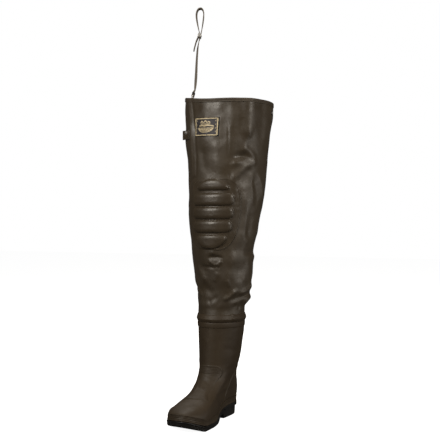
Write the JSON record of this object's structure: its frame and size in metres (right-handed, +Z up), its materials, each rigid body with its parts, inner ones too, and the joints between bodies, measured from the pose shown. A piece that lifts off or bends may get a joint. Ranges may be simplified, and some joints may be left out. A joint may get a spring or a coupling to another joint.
{
  "type": "hip wader",
  "caption": "Right hip wader: rubber boot with a tall coated-cloth leg, ribbed knee pad, rolled joint band and a webbing belt strap standing up from its collar.",
  "frame": {"origin": "on the floor under the middle of the heel block", "axes": "+Z up the leg, -Y to the toe, +X to the inner side of the foot, -X to the outer side with the strap"},
  "size_m": [0.2459, 0.3673, 1.0794],
  "materials": {
    "sole_rubber": "matt moulded black rubber",
    "boot_rubber": "dipped dark brown rubber with a satin sheen",
    "overlay_rubber": "satin brown rubber overlay",
    "leg_cloth": "rubber coated cloth, creased, dull satin",
    "lining": "plain knitted lining",
    "webbing": "woven webbing",
    "nickel": "nickel plated wire and stamped metal",
    "badge_label": "printed label, dark field with a gold border and plain gold motif"
  },
  "bodies": {
    "root": {"outsole": "sole_rubber", "boot-upper": "boot_rubber", "insole": "lining", "foxing": "overlay_rubber", "toe-cap": "overlay_rubber", "heel-counter": "overlay_rubber", "instep-overlay": "overlay_rubber", "leg-upper": "leg_cloth", "joint-strip": "boot_rubber", "cuff-roll": "boot_rubber", "collar-binding": "boot_rubber", "knee-pad": "leg_cloth", "badge": "badge_label", "anchor-tab": "webbing", "strap-ring": "nickel", "strap-keeper": "sole_rubber", "thigh-strap": "webbing", "strap-slide": "nickel", "snap-tab": "leg_cloth", "snap-stud": "nickel", "inner-rivet": "nickel"}
  },
  "joints": []
}
